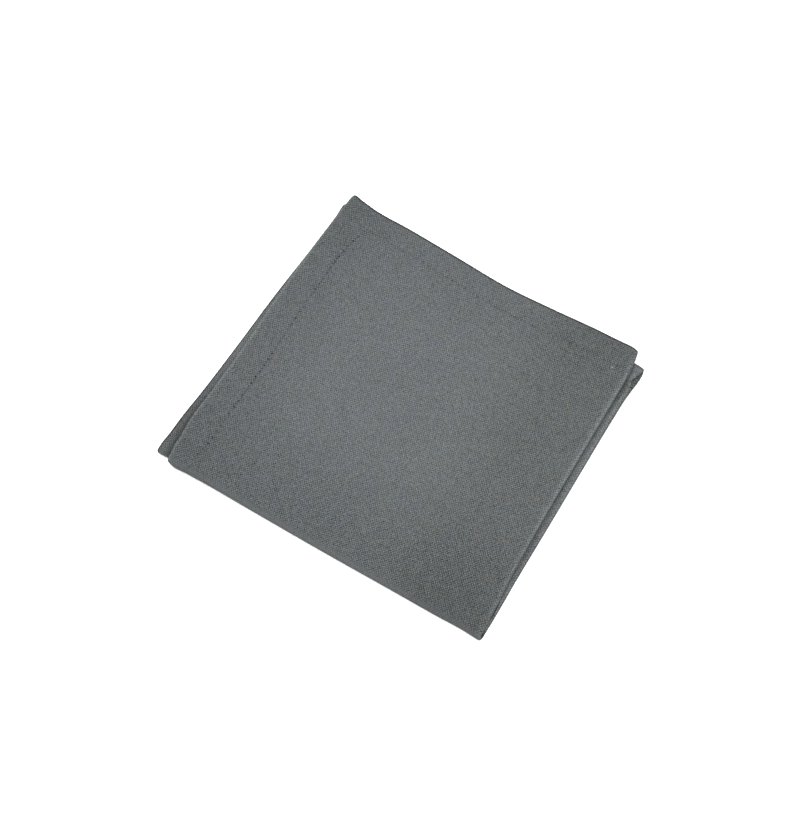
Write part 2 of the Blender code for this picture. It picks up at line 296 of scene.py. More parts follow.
def four_leaves(table, where, inner, lower):
    """Distance of a hem's edge from the middle of the bundle, between the rows for the four leaves."""
    upper_hem = (1.0 - inner) * smooth_line(table, "upper_outer", where)
    upper_hem = upper_hem + inner * smooth_line(table, "upper_inner", where)
    lower_hem = (1.0 - inner) * smooth_line(table, "lower_outer", where)
    lower_hem = lower_hem + inner * smooth_line(table, "lower_inner", where)
    return (1.0 - lower) * upper_hem + lower * lower_hem


def leaf_pitch(x, y):
    """Height from one leaf to the next at a place in the bundle."""
    from_left_hems = (x + HALF_SIDE - HEM_LOFT_FROM) / (HEM_LOFT_TO - HEM_LOFT_FROM)
    from_far_hems = (HALF_SIDE - HEM_LOFT_FROM - y) / (HEM_LOFT_TO - HEM_LOFT_FROM)
    open_cloth = ease(from_left_hems) * ease(from_far_hems)
    side = 1.0 - ease((HALF_SIDE - x) / FOLD_LOFT_REACH)
    front = 1.0 - ease((HALF_SIDE + y) / FOLD_LOFT_REACH)
    from_hem_corner = np.hypot(x - HEM_CORNER[0], y - HEM_CORNER[1])
    from_fold_corner = np.hypot(x - FOLD_CORNER[0], y - FOLD_CORNER[1])
    pitch = LEAF_PITCH + HEM_LOFT * (1.0 - open_cloth)
    pitch = pitch + SIDE_FOLD_LOFT * side + FRONT_FOLD_LOFT * front * (1.0 - side)
    pitch = pitch + HEM_CORNER_LOFT * (1.0 - ease(from_hem_corner / CORNER_LOFT_REACH))
    pitch = pitch + FOLD_CORNER_LOFT * (1.0 - ease(from_fold_corner / CORNER_LOFT_REACH))
    waves = np.sin(2.0 * math.pi * x / WAVE_LENGTH_X) * np.cos(2.0 * math.pi * y / WAVE_LENGTH_Y)
    return pitch + WAVE_HEIGHT * (1.0 + waves)


def hem_share(distance):
    """1 on the hem, 0 on the open cloth, with a soft step between them."""
    return 1.0 - ease((distance - HEM_WIDTH + HEM_EASE) / (2.0 * HEM_EASE))


def run_over_fold(travel):
    """Travel is 0 to 1 on the first leaf, towards the fold, 1 to 2 in the fold, and 2 to 3 on the second."""
    reach = np.clip(travel, 0.0, 1.0) - np.clip(travel - 2.0, 0.0, 1.0)
    turn = math.pi * np.clip(travel - 1.0, 0.0, 1.0)
    return reach, turn


def turned(turn):
    """How far the cloth has gone from the first leaf to the second, from 0 to 1, after a turn in the fold."""
    return 0.5 - 0.5 * np.cos(turn)


def middle_of_cloth(across, down):
    """Place and thickness of the middle of the cloth, as in the solid."""
    reach_side, side_turn = run_over_fold(across)
    reach_front, front_turn = run_over_fold(down)
    inner = turned(side_turn)
    lower = turned(front_turn)
    place_x = (2.0 * reach_side - 1.0) * HALF_SIDE
    place_y = (1.0 - 2.0 * reach_front) * HALF_SIDE

    left = -four_leaves(LEFT_HEMS, place_y, inner, lower)
    far = four_leaves(FAR_HEMS, place_x, inner, lower)
    right = (1.0 - lower) * smooth_line(SIDE_FOLDS, "upper", place_y)
    right = right + lower * smooth_line(SIDE_FOLDS, "lower", place_y)
    front = -smooth_line(FRONT_FOLD, "outer", place_x)
    set_back = inner * smooth_line(FRONT_FOLD, "set_back", place_x)

    from_left = reach_side * 2.0 * HALF_SIDE
    from_far = reach_front * 2.0 * HALF_SIDE
    on_left_hem = hem_share(from_left)
    on_far_hem = hem_share(from_far)
    on_hem = np.maximum(on_left_hem, on_far_hem)
    thickness = CLOTH_THICKNESS + (HEM_THICKNESS - CLOTH_THICKNESS) * on_hem
    thickness = thickness + HEM_CORNER_EXTRA * on_left_hem * on_far_hem

    flat_x = left + (right - left) * reach_side
    flat_y = far + (front - far) * reach_front
    pitch = leaf_pitch(flat_x, flat_y)

    bare = smooth_line(SIDE_FOLDS, "lower", place_y) - smooth_line(SIDE_FOLDS, "upper", place_y)
    pinch = ease((from_far - PINCH_FROM) / (PINCH_TO - PINCH_FROM))
    lower_loop = LOWER_LOOP * ease((bare - BARE_FOLD_FROM) / (BARE_FOLD_TO - BARE_FOLD_FROM)) * pinch * lower
    upper_loop = UPPER_LOOP * (1.0 - lower)
    side_radius = 0.5 * (pitch + lower_loop + upper_loop)
    side_centre = right - side_radius - 0.5 * thickness
    from_bundle_middle = pitch + 0.5 * pitch * np.cos(side_turn)
    front_radius = 0.5 * LEAVES_ABOVE_LOWEST * pitch
    front_centre = front + front_radius + 0.5 * thickness + set_back

    x = left + (side_centre - left) * reach_side + side_radius * np.sin(side_turn)
    y = far + (front_centre - far) * reach_front - from_bundle_middle * np.sin(front_turn)
    z = 0.5 * thickness + front_radius + from_bundle_middle * np.cos(front_turn)
    near_fold = 1.0 - ease((right - x - LOOP_TOP) / (LOOP_FOOT - LOOP_TOP))
    z = z + near_fold * (lower_loop * inner + upper_loop * (1.0 - inner))
    near_left = np.clip(1.0 - from_left / CORNER_ROUNDING, 0.0, 1.0)
    near_far = np.clip(1.0 - from_far / CORNER_ROUNDING, 0.0, 1.0)
    cut = (1.0 - math.sqrt(0.5)) * CORNER_ROUNDING * (near_left * near_far) ** 2
    x = x + cut
    y = y - cut
    past_top_hem = -x - smooth_line(LEFT_HEMS, "upper_outer", place_y)
    z = z - LEFT_DROOP * inner * ease(past_top_hem / LEFT_DROOP_REACH)
    z = z + TOP_HEM_CURL * (1.0 - inner) * (1.0 - lower) * (1.0 - ease(from_left / TOP_HEM_CURL_REACH))
    return np.stack([x, y, z], axis=-1) - BUNDLE_MIDDLE, thickness


def inside_cloth(travel):
    """The same travel, kept a little away from both edges of the cloth."""
    return np.clip(travel, 2.0 * TANGENT_STEP, 3.0 - 2.0 * TANGENT_STEP)


def facing(across, down):
    """Direction square to the cloth, away from the middle of the bundle on the outer leaves."""
    across = inside_cloth(across)
    down = inside_cloth(down)
    ahead = middle_of_cloth(across + TANGENT_STEP, down)[0]
    behind = middle_of_cloth(across - TANGENT_STEP, down)[0]
    below = middle_of_cloth(across, down + TANGENT_STEP)[0]
    above = middle_of_cloth(across, down - TANGENT_STEP)[0]
    normal = np.cross(ahead - behind, above - below)
    return normal / np.linalg.norm(normal, axis=-1, keepdims=True)


def flat_length(travel, leaf, fold):
    """Flat length of cloth from the first hem to a place on the way over the fold."""
    leaves = np.clip(travel, 0.0, 1.0) + np.clip(travel - 2.0, 0.0, 1.0)
    return leaves * leaf + np.clip(travel - 1.0, 0.0, 1.0) * fold


def flat_places(across, down):
    """Places on the flat cloth, across and down from its first corner."""
    return flat_length(across, LEAF_ACROSS, FOLD_ACROSS), flat_length(down, LEAF_DOWN, FOLD_DOWN)


def travel_at(length, leaf, fold):
    """The reverse of flat_length, for one place."""
    in_fold = (length - leaf) / fold
    if in_fold < 0.0:
        return length / leaf
    if in_fold < 1.0:
        return 1.0 + in_fold
    return 2.0 + (length - leaf - fold) / leaf


def travels_at(flat_across, flat_down):
    """The two travels at one place on the flat cloth."""
    across = travel_at(flat_across, LEAF_ACROSS, FOLD_ACROSS)
    down = travel_at(flat_down, LEAF_DOWN, FOLD_DOWN)
    return np.array([across]), np.array([down])


def from_seams(across, down):
    """Distances from the side hem's seam and from the end hem's seam, on the flat cloth."""
    flat_across, flat_down = flat_places(across, down)
    from_side = np.minimum(flat_across, WHOLE - flat_across)
    from_end = np.minimum(flat_down, WHOLE - flat_down)
    side_seam = from_side - smooth_line(SEAMS, "side_hem", from_end)
    end_seam = from_end - smooth_line(SEAMS, "end_hem", from_side)
    return side_seam, end_seam, from_side, from_end


def seam_depth(across, down):
    """Depth of the trough that the seams pull into the cloth. It fades out past the crossing of two seams."""
    side_seam, end_seam, from_side, from_end = from_seams(across, down)
    half_width = 0.5 * SEAM_TROUGH_WIDTH
    along_side = np.exp(-(side_seam / half_width) ** 2) * (from_end > SEAM_CORNER)
    along_end = np.exp(-(end_seam / half_width) ** 2) * (from_side > SEAM_CORNER)
    return SEAM_TROUGH * np.maximum(along_side, along_end)


def leaf_rows(spacing):
    """Rows over one leaf, from its hem to its fold, as shares of the leaf."""
    rows = list(EDGE_ROWS)
    seam_start, seam_end, seam_rows = spacing["seam"]
    whole = 2.0 * HALF_SIDE / MM
    first = round((seam_start - rows[-1]) / spacing["hem"]) + 1
    rows += list(np.linspace(rows[-1], seam_start, first)[1:])
    rows += list(np.linspace(seam_start, seam_end, seam_rows)[1:])
    open_end = whole - AT_FOLD
    rows += list(np.linspace(seam_end, open_end, round((open_end - seam_end) / spacing["open"]))[1:])
    rows += list(np.linspace(open_end, whole, round(AT_FOLD / spacing["at_fold"]) + 1)[1:])
    return np.array(rows) / whole


def travel_rows(shown, hidden, fold_rows):
    """Travels of all rows of the mesh, over the leaf that shows, the fold and the hidden leaf."""
    fold = 1.0 + np.arange(1, fold_rows) / fold_rows
    return np.concatenate([leaf_rows(shown), fold, 3.0 - leaf_rows(hidden)[::-1]])


def edge_taper(across, down):
    """Share of the cloth's thickness that is left close to its edge, which is rounded over."""
    flat_across, flat_down = flat_places(across, down)
    from_side = np.minimum(flat_across, WHOLE - flat_across)
    from_end = np.minimum(flat_down, WHOLE - flat_down)
    inward = 1.0 - np.clip(np.minimum(from_side, from_end) / EDGE_TAPER, 0.0, 1.0)
    return EDGE_TAPER_LEAST + (1.0 - EDGE_TAPER_LEAST) * np.sqrt(1.0 - inward * inward)


def lines_of_lower_fold(across, down):
    """Where the lower side fold has its ridge, its crease and the raised patch past the crease."""
    place_y = (1.0 - 2.0 * run_over_fold(down)[0]) * HALF_SIDE
    place = middle_of_cloth(across, down)[0] + BUNDLE_MIDDLE
    y = place[..., 1]
    inside = smooth_line(SIDE_FOLDS, "lower", place_y) - place[..., 0]
    ridge_inside = straight_line(SIDE_SHADES, "ridge_inside", y) * MM
    past_crease = y - CREASE_TIP + CREASE_SLOPE * inside
    above_crease = ease(past_crease / CREASE_WIDTH - CREASE_SHOULDER)
    within_reach = 1.0 - ease((inside - CREASE_REACH) / CREASE_END_EASE)
    return {
        "y": y,
        "inside": inside,
        "ridge_inside": ridge_inside,
        "ridge": np.exp(-((inside - ridge_inside) / RIDGE_WIDTH) ** 2),
        "above_crease": above_crease,
        "crease": np.exp(-(past_crease / CREASE_WIDTH) ** 2) * within_reach,
        "patch": above_crease * ease((y - PATCH_FROM) / PATCH_EASE),
    }


def relief_of_lower_fold(across, down):
    """Height of the same ridge, crease and patch over the plain fold, on its upper half."""
    lines = lines_of_lower_fold(across, down)
    lower = turned(run_over_fold(down)[1])
    upper_half = ease((across - UPPER_HALF_FROM) / UPPER_HALF_EASE)
    at_far_end = ease((lines["y"] - RIDGE_FROM) / RIDGE_EASE)
    ridge_share = RIDGE_LEAST_SHARE + (1.0 - RIDGE_LEAST_SHARE) * at_far_end
    relief = RIDGE_HEIGHT * ridge_share * lines["ridge"] - CREASE_DEPTH * lines["crease"]
    relief = relief + PATCH_HEIGHT * lines["patch"]
    return relief * lower * upper_half


def near_front_fold(reach_front):
    """0 over most of a leaf, rising to 1 at the front fold."""
    return ease((reach_front - FRONT_SHADE_FROM) / FRONT_SHADE_EASE)


def shade_of_upper_pair(across, down, y):
    """Painted light and shade of the top leaf, front roll and upper side fold: pale rims, dark sides."""
    reach_side, side_turn = run_over_fold(across)
    reach_front, front_turn = run_over_fold(down)
    flat_across, flat_down = flat_places(across, down)

    near_front = near_front_fold(reach_front)
    dark_left = DARK_LEFT + (DARK_LEFT_AT_FRONT - DARK_LEFT) * near_front
    dark = dark_left * (1.0 - ease(reach_side / LEFT_SHADE_EASE))
    dark = dark + DARK_RIGHT * ease((reach_side - RIGHT_SHADE_FROM) / RIGHT_SHADE_EASE)
    dark = dark + DARK_FRONT * near_front + DARK_FAR * (1.0 - ease(reach_front / FAR_SHADE_EASE))
    highlight = np.exp(-((front_turn - ROLL_HIGHLIGHT_AT) / ROLL_HIGHLIGHT_WIDE) ** 2)
    on_roll = ease(front_turn / ROLL_TURN) + ROLL_HIGHLIGHT * highlight
    under_roll = ease((front_turn - ROLL_UNDER_FROM) / ROLL_UNDER_EASE)
    shade = (1.0 - dark) * (1.0 + PALE_ROLL * on_roll) * (1.0 - DARK_UNDER_ROLL * under_roll)

    at_far_end = ease((y - RIM_END) / RIM_END_EASE)
    left_rim = 1.0 - ease((flat_across - LEFT_RIM_FROM) / LEFT_RIM_EASE)
    shade = shade * (1.0 + (PALE_RIM + (PALE_RIM_FAR - PALE_RIM) * at_far_end) * left_rim)
    far_line = 1.0 - ease((flat_down - UPPER_LINE_FROM) / LINE_EASE)
    shade = shade * (1.0 - DARK_LINE * far_line)
    to_fold = LEAF_ACROSS - flat_across
    right_rim = RIM_SOFT_SHARE * (1.0 - ease(to_fold / RIM_SOFT_WIDTH))
    right_rim = right_rim + (1.0 - RIM_SOFT_SHARE) * np.exp(-((to_fold + RIM_PAST_FOLD) / RIM_WIDTH) ** 2)
    turned_in = ease((side_turn - TUCK_FROM) / TUCK_EASE)
    rim_pale = straight_line(SIDE_SHADES, "rim_pale", y)
    return shade * (1.0 + rim_pale * right_rim * (1.0 - turned_in)) * (1.0 - DARK_TUCK * turned_in)


def shade_of_lower_fold(down, lines):
    """Painted shade and light of the lower side fold where it reaches out past the upper one."""
    reach_front = run_over_fold(down)[0]
    flat_down = flat_length(down, LEAF_DOWN, FOLD_DOWN)
    place_y = (1.0 - 2.0 * reach_front) * HALF_SIDE
    y = lines["y"]
    inside = lines["inside"]
    ridge = straight_line(SIDE_SHADES, "ridge_pale", y) * lines["ridge"]
    patch = PATCH_PALE * lines["patch"] * (1.0 - PATCH_FADES_BY * ease((y - PATCH_TO) / PATCH_EASE))

    wide = straight_line(SIDE_SHADES, "valley_wide", y) * MM
    bare = smooth_line(SIDE_FOLDS, "lower", place_y) - smooth_line(SIDE_FOLDS, "upper", y)
    up_valley = ease((bare - inside - VALLEY_FLOOR_SHARE * wide) / (VALLEY_EASE_SHARE * wide))
    valley = straight_line(SIDE_SHADES, "valley_dark", y) * (1.0 - up_valley)
    line = DARK_LINE * (1.0 - ease((inside - FOLD_LINE_FROM) / FOLD_LINE_EASE))
    band = DARK_BAND * (1.0 - ease((inside - lines["ridge_inside"] + BAND_OUTSIDE_RIDGE) / BAND_EDGE_EASE))
    band = band * ease((y - BAND_FROM) / BAND_EASE) * (1.0 - lines["above_crease"])
    crease = DARK_CREASE * lines["crease"]
    far_line = 1.0 - ease((WHOLE - flat_down - LOWER_LINE_FROM) / LINE_EASE)
    shade = (1.0 + ridge + patch) * (1.0 - valley) * (1.0 - line) * (1.0 - band) * (1.0 - crease)
    return shade * (1.0 - DARK_FRONT * near_front_fold(reach_front)) * (1.0 - DARK_FAR_LINE * far_line)


def shade_of_outside(across, down):
    """Painted shade and light on the cloth's outer face, as a share of its colour in the bundle's middle."""
    lines = lines_of_lower_fold(across, down)
    lower = turned(run_over_fold(down)[1])
    upper_shade = shade_of_upper_pair(across, down, lines["y"])
    return (1.0 - lower) * upper_shade + lower * shade_of_lower_fold(down, lines)


def shade_of_inside(across, down):
    """The same for the inner face, which shows on the strip past the top leaf's side hem."""
    flat_across = flat_places(across, down)[0]
    place = middle_of_cloth(across, down)[0] + BUNDLE_MIDDLE
    y = place[..., 1]
    past_top_hem = np.maximum(-place[..., 0] - smooth_line(LEFT_HEMS, "upper_outer", y), 0.0)
    depth = np.clip((STRIP_FROM - y) / STRIP_EASE, 0.0, 1.0) * np.exp(-past_top_hem / STRIP_REACH)
    towards_front = ease((STRIP_DARK_FROM - y) / STRIP_DARK_EASE)
    shade = (1.0 - np.minimum(depth, STRIP_DARKEST)) * (1.0 - STRIP_DARK * towards_front)
    line = 1.0 - ease((WHOLE - flat_across - LOWER_LINE_FROM) / LINE_EASE)
    return shade * (1.0 - DARK_LINE * line)


def cloth_faces():
    """Points of the cloth's two faces in rows, with their flat places, seam distances and painted shades."""
    rows_across = travel_rows(ACROSS_SHOWN, ACROSS_HIDDEN, SIDE_FOLD_ROWS)
    rows_down = travel_rows(DOWN_SHOWN, DOWN_HIDDEN, FRONT_FOLD_ROWS)
    across, down = np.meshgrid(rows_across, rows_down, indexing="ij")
    middle, thickness = middle_of_cloth(across, down)
    normal = facing(across, down)
    middle = middle + relief_of_lower_fold(across, down)[..., None] * normal
    half = 0.5 * thickness * edge_taper(across, down) - seam_depth(across, down)
    offset = half[..., None] * normal
    flat = np.stack(flat_places(across, down), axis=-1)
    sewn = np.stack(from_seams(across, down)[:2], axis=-1)
    shades = (shade_of_outside(across, down), shade_of_inside(across, down))
    return middle + offset, middle - offset, flat, sewn, shades


def rim_places(rows, columns):
    """Row and column of each point round the edge of the cloth, in order."""
    first = [(row, 0) for row in range(rows)]
    second = [(rows - 1, column) for column in range(1, columns)]
    third = [(row, columns - 1) for row in range(rows - 2, -1, -1)]
    fourth = [(0, column) for column in range(columns - 2, 0, -1)]
    return first + second + third + fourth


def add_object(name, data):
    """An object in the scene, from its mesh, camera or light."""
    thing = bpy.data.objects.new(name, data)
    bpy.context.scene.collection.objects.link(thing)
    return thing


def napkin_cloth():
    """The whole cloth as one closed sheet: its outer face, its inner face and a rounded edge between them."""
    outside, inside, flat, sewn, shades = cloth_faces()
    rows, columns = outside.shape[:2]
    rim = np.array(rim_places(rows, columns))
    within = np.clip(rim, 1, np.array([rows - 2, columns - 2]))
    at_rim = (rim[:, 0], rim[:, 1])
    centre = 0.5 * (outside + inside)
    outward = centre[at_rim] - centre[within[:, 0], within[:, 1]]
    outward = outward / np.linalg.norm(outward, axis=-1, keepdims=True)
    thick = np.linalg.norm(outside - inside, axis=-1)[at_rim]
    edge = centre[at_rim] + outward * thick[:, None] * EDGE_ROUNDING
    points = np.concatenate([outside.reshape(-1, 3), inside.reshape(-1, 3), edge])
    # The cloth's rounded edge gets painted shade, darker than the face beside it.
    rim_shade = shades[0][at_rim] * RIM_NOSE_SHADE
    shade_of_points = np.concatenate([shades[0].ravel(), shades[1].ravel(), rim_shade])

    row, column = np.meshgrid(np.arange(rows - 1), np.arange(columns - 1), indexing="ij")
    corner = (row * columns + column).ravel()
    loops = np.stack([corner, corner + 1, corner + columns + 1, corner + columns], axis=-1)
    here = rim[:, 0] * columns + rim[:, 1]
    there = np.roll(here, -1)
    nose = 2 * rows * columns + np.arange(len(rim))
    next_nose = np.roll(nose, -1)
    back = rows * columns
    faces = np.concatenate([
        loops,
        loops[:, ::-1] + back,
        np.stack([here, there, next_nose, nose], axis=-1),
        np.stack([nose, next_nose, there + back, here + back], axis=-1),
    ])
    mesh = bpy.data.meshes.new("napkin_cloth")
    mesh.from_pydata(points.tolist(), [], faces.tolist())
    for name, places in (("flat cloth", flat), ("from seams", sewn)):
        of_points = np.concatenate([places.reshape(-1, 2), places.reshape(-1, 2), places[at_rim]])
        mesh.uv_layers.new(name=name).data.foreach_set("uv", of_points[faces.ravel()].ravel())
    # The painted shade and light go on the mesh as its attribute shade, which scales the cloth's colour.
    mesh.attributes.new("shade", "FLOAT", "POINT").data.foreach_set("value", shade_of_points)
    mesh.shade_smooth()
    return add_object("napkin_cloth", mesh)


def stitch_points(centre, tangent, normal, length):
    """Rings of one stitch, a short thread that dips into the cloth at both ends."""
    side = np.cross(normal, tangent)
    points = []
    for share in STITCH_RINGS:
        arch = math.sin(math.pi * share)
        ring_radius = STITCH_RADIUS * (STITCH_END_THICKNESS + (1.0 - STITCH_END_THICKNESS) * arch)
        height = STITCH_RADIUS * (STITCH_ARCH * arch - STITCH_END_DEPTH)
        middle = centre + tangent * (share - 0.5) * length + normal * height
        for index in range(STITCH_SIDES):
            angle = 2.0 * math.pi * index / STITCH_SIDES
            points.append(middle + ring_radius * (math.cos(angle) * side + math.sin(angle) * normal))
    return points


def stitch_faces(start):
    """Faces of one stitch, round its thread and over its two ends, for points that begin at start."""
    faces = []
    for ring in range(len(STITCH_RINGS) - 1):
        low = start + ring * STITCH_SIDES
        high = low + STITCH_SIDES
        for side in range(STITCH_SIDES):
            following = (side + 1) % STITCH_SIDES
            faces.append((low + side, low + following, high + following, high + side))
    last = start + (len(STITCH_RINGS) - 1) * STITCH_SIDES
    faces.append(tuple(start + side for side in reversed(range(STITCH_SIDES))))
    faces.append(tuple(last + side for side in range(STITCH_SIDES)))
    return faces


def stitch_places():
    """Flat places of the stitches along the four seams, and whether each runs down the cloth."""
    chance = np.random.default_rng(SEAM_SEED)
    places = []
    for seam in range(4):
        runs_down = seam % 2 == 1
        column = "side_hem" if runs_down else "end_hem"
        for along in np.arange(SEAM_CORNER + 0.5 * STITCH_PITCH, WHOLE - SEAM_CORNER, STITCH_PITCH):
            aside = float(smooth_line(SEAMS, column, min(along, WHOLE - along)))
            aside += chance.uniform(-SEAM_WANDER, SEAM_WANDER)
            if seam >= 2:
                aside = WHOLE - aside
            places.append((aside, along, True) if runs_down else (along, aside, False))
    return places


def turn_faces_outwards(piece):
    """Make all faces of a piece look away from it."""
    for other in bpy.context.selected_objects:
        other.select_set(False)
    bpy.context.view_layer.objects.active = piece
    piece.select_set(True)
    bpy.ops.object.mode_set(mode="EDIT")
    bpy.ops.mesh.select_all(action="SELECT")
    bpy.ops.mesh.normals_make_consistent(inside=False)
    bpy.ops.object.mode_set(mode="OBJECT")
    piece.select_set(False)


def hem_stitches():
    """Every stitch of the hem, on both faces of the cloth."""
    chance = np.random.default_rng(STITCH_SEED)
    points = []
    faces = []
    for flat_across, flat_down, runs_down in stitch_places():
        across, down = travels_at(flat_across, flat_down)
        if runs_down:
            ahead = travels_at(flat_across, flat_down + STITCH_RADIUS)
        else:
            ahead = travels_at(flat_across + STITCH_RADIUS, flat_down)
        middle, thickness = middle_of_cloth(across, down)
        normal = facing(across, down)[0]
        tangent = middle_of_cloth(*ahead)[0][0] - middle[0]
        tangent = tangent / np.linalg.norm(tangent)
        length = STITCH_LENGTH * chance.uniform(*STITCH_LENGTHS)
        surface = 0.5 * thickness[0] - SEAM_TROUGH - STITCH_SINK
        for face in (1.0, -1.0):
            faces += stitch_faces(len(points))
            centre = middle[0] + normal * face * surface
            points += stitch_points(centre, tangent, normal * face, length)
    places = np.array(points)
    places[:, 2] = np.maximum(places[:, 2], STITCH_LEAST_HEIGHT)
    mesh = bpy.data.meshes.new("hem_stitches")
    mesh.from_pydata(places.tolist(), [], faces)
    mesh.shade_smooth()
    stitching = add_object("hem_stitches", mesh)
    turn_faces_outwards(stitching)
    return stitching


# Materials. First the weave, where a scale is the number of waves of a noise to a metre.
THREAD_ACROSS = 0.784 * MM
THREAD_DOWN = 0.913 * MM
THREAD_WANDER = 0.60
THREAD_HEIGHT = 0.55
THREAD_CROSSING = 0.45
WANDER_SCALE = 640.0
WANDER_SHIFT = (3.7, 9.1, 0.0)
SLUB_STEP = 1.7
SLUB_ALONG = 0.16
WEFT_SLUBS = 31.0
LEAST_FULL = 0.4
MOST_FULL = 1.25
FUZZ_SIZE = 0.42 * MM

# Contrasts of the cloth, as shares of its colour. The weave's contrast is painted shade and light on the
# threads' relief.
CLOTH_COLOUR = (0.0980, 0.1065, 0.1100)
CLOTH_FINISH = {"Specular IOR Level": 0.25, "Sheen Weight": 0.18, "Sheen Roughness": 0.45,
                "Sheen Tint": (0.75, 0.78, 0.80, 1.0)}
MIDDLE_HEIGHT = 0.62
WEAVE_CONTRAST = 0.42
CROSSING_CONTRAST = 0.56
SLUB_CONTRAST = 0.07
CELL_CONTRAST = 0.04
FUZZ_CONTRAST = 0.60
MOTTLE_CONTRAST = 0.04
MOTTLE_SCALE = 55.0
DARKEST_TONE = 0.12

# The weave's painted contrast is clearer where the painted shade is dark and fainter where it is darkest,
# and smoothed out on the roll.
DARK_SHADES = (1.0, 0.70)
CLEARER_WHERE_DARK = 1.36
DARKEST_SHADES = (0.35, 0.65)
FAINTER_WHERE_DARKEST = 0.6
ROLL_SMOOTHNESS = 0.55
SMOOTH_BEFORE_ROLL = 1.5 * MM
SMOOTH_ON_ROLL = 1.0 * MM
SMOOTH_PAST_ROLL = 4.0 * MM

# The dye drifts a little to red and blue, and is bluer at the left than at the right.
DYE_SCALE = 130.0
BLUE_SHIFT = (5.3, 2.1, 0.0)
RED_DRIFT = 0.15
BLUE_DRIFT = 0.24
BLUE_FROM = 80.0 * MM
BLUE_TO = 185.0 * MM
BLUE_LEFT = 0.008
BLUE_RIGHT = -0.028

# Roughness at the low and high places of the threads, and the depth of the weave and of its fibres.
THREAD_LOW_HIGH = (0.2, 1.0)
ROUGH_LOW_HIGH = (0.98, 0.86)
FIBRE_SCALE = 5200.0
FIBRE_RELIEF = 0.35
WEAVE_STRENGTH = 0.65
WEAVE_DEPTH = 0.18 * MM

# Needle holes, darkened with painted shade in each hole. The end hem is sewn less tightly than the side hem.
HOLE_DARKNESS = 0.82
HOLE_FROM_STITCH_MIDDLE = 0.25
HOLE_REACH = 0.92 * MM
HOLE_FLOOR_SHARE = 0.25
SECOND_HOLE_SHARE = 0.35
LOOSEST_STITCH = 0.25
TIGHT_STITCHES_FROM = 0.7
END_HEM_TIGHTNESS = 0.45

# Lint: place across and down the flat cloth and radius, in millimetres, and how much lighter it is.
LINT = (
    (129.5, 4.9, 0.7, 0.7), (189.9, 18.0, 0.9, 1.1), (83.9, 96.6, 0.7, 0.6), (153.5, 176.1, 0.7, 0.6),
    (68.9, 134.0, 0.7, 0.5), (123.2, 15.0, 0.7, 0.5), (126.2, 63.3, 0.8, -0.5),
)
LINT_CORE = 0.3

# Sewing thread, a little darker than the cloth, and the table top, white acrylic lit softly from below.
THREAD_COLOUR = (0.085, 0.093, 0.097)
THREAD_FINISH = {"Roughness": 0.8, "Specular IOR Level": 0.3}
# The twist's bands darken the thread's colour: painted shade in its grooves.
TWIST_SCALE = 900.0
TWIST_DARKEST = 0.65
TWIST_STRENGTH = 0.4
TWIST_DEPTH = 0.05 * MM
TABLE_COLOUR = (0.90, 0.90, 0.90)
TABLE_FINISH = {"Roughness": 0.9, "Specular IOR Level": 0.1, "Emission Color": (1.0, 1.0, 1.0, 1.0),
                "Emission Strength": 0.45}
TABLE_CLOUD_SCALE = 6.0
TABLE_DARKEST = 0.97


class Nodes:
    """Short names for building one node tree."""

    def __init__(self, tree):
        self.tree = tree

    def add(self, kind, settings=(), inputs=(), output=0):
        """A new node with its settings and inputs, as one of its outputs."""
        node = self.tree.nodes.new(kind)
        for name, value in dict(settings).items():
            setattr(node, name, value)
        for key, value in dict(inputs).items():
            self.put(node.inputs[key], value)
        return node.outputs[output]

    def put(self, socket, value):
        """Link an output to a socket, or set the socket to a plain value."""
        if isinstance(value, bpy.types.NodeSocket):
            self.tree.links.new(value, socket)
        else:
            socket.default_value = value

    def group(self, tree, inputs):
        """The outputs of a node group that is used here."""
        node = self.tree.nodes.new("ShaderNodeGroup")
        node.node_tree = tree
        for key, value in inputs.items():
            self.put(node.inputs[key], value)
        return node.outputs

    def math(self, operation, first, second=None):
        inputs = {0: first} if second is None else {0: first, 1: second}
        return self.add("ShaderNodeMath", {"operation": operation}, inputs)

    def plus(self, first, second):
        return self.math("ADD", first, second)

    def minus(self, first, second):
        return self.math("SUBTRACT", first, second)

    def times(self, first, second):
        return self.math("MULTIPLY", first, second)

    def swing(self, value, middle, amount):
        """How far a value is from its middle, times an amount."""
        return self.times(self.minus(value, middle), amount)

    def remap(self, value, low, high, to_low=0.0, to_high=1.0):
        return self.add("ShaderNodeMapRange", {"interpolation_type": "SMOOTHSTEP"},
                        {0: value, 1: low, 2: high, 3: to_low, 4: to_high})

    def noise(self, vector, scale, detail=2.0, roughness=0.5):
        return self.add("ShaderNodeTexNoise", {"noise_dimensions": "3D"},
                        {"Vector": vector, "Scale": scale, "Detail": detail, "Roughness": roughness})

    def vector(self, x, y, z=0.0):
        return self.add("ShaderNodeCombineXYZ", {}, {0: x, 1: y, 2: z})

    def split(self, vector):
        """The three parts of a vector."""
        return self.add("ShaderNodeSeparateXYZ", {}, {0: vector}).node.outputs

    def vector_math(self, operation, first, second):
        return self.add("ShaderNodeVectorMath", {"operation": operation}, {0: first, 1: second})

    def scaled(self, colour, factor):
        """A colour times one factor."""
        return self.add("ShaderNodeVectorMath", {"operation": "SCALE"}, {0: colour, 3: factor})

    def white(self, x, y):
        """A chance value from 0 to 1 for each place."""
        return self.add("ShaderNodeTexWhiteNoise", {"noise_dimensions": "2D"}, {"Vector": self.vector(x, y)})

    def bump(self, strength, depth, height):
        return self.add("ShaderNodeBump", {}, {"Strength": strength, "Distance": depth, "Height": height})

    def object_place(self):
        return self.add("ShaderNodeTexCoord", {}, {}, 3)


